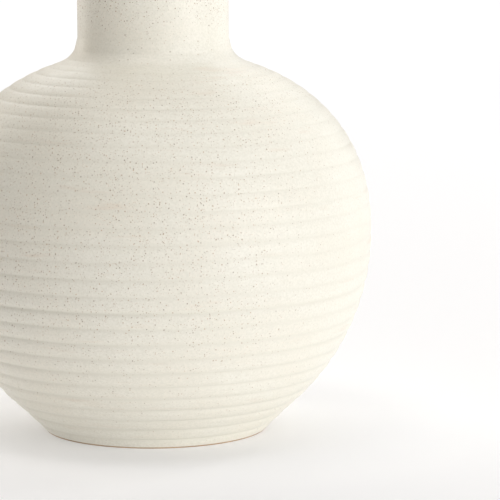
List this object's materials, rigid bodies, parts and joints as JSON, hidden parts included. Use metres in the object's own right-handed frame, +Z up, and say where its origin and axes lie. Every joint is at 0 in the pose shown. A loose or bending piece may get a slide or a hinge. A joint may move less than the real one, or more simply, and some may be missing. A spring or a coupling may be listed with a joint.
{
  "type": "stoneware vase",
  "caption": "Wide-bellied stoneware vase with throwing rings, a straight narrow neck, a low foot ring and a speckled cream glaze.",
  "frame": {"origin": "centre of the foot, on the surface that the vase stands on", "axes": "+Z up along the axis that the vase was turned about, -Y towards the viewer"},
  "size_m": [0.2396, 0.2396, 0.288],
  "materials": {
    "bare_clay": "unglazed fired stoneware, matt and slightly gritty",
    "clay_body": "unglazed fired stoneware under the glaze",
    "slip": "fired joining slip",
    "speckled_glaze": "satin-matt cream glaze with fine brown iron speckles",
    "liner_glaze": "satin cream glaze"
  },
  "bodies": {
    "root": {"foot_ring": "bare_clay", "base_disc": "bare_clay", "lower_bowl": "clay_body", "upper_bowl": "clay_body", "neck_tube": "clay_body", "foot_slip": "slip", "base_slip": "slip", "belly_slip": "slip", "neck_slip": "slip", "outer_glaze": "speckled_glaze", "liner_glaze": "liner_glaze"}
  },
  "joints": []
}
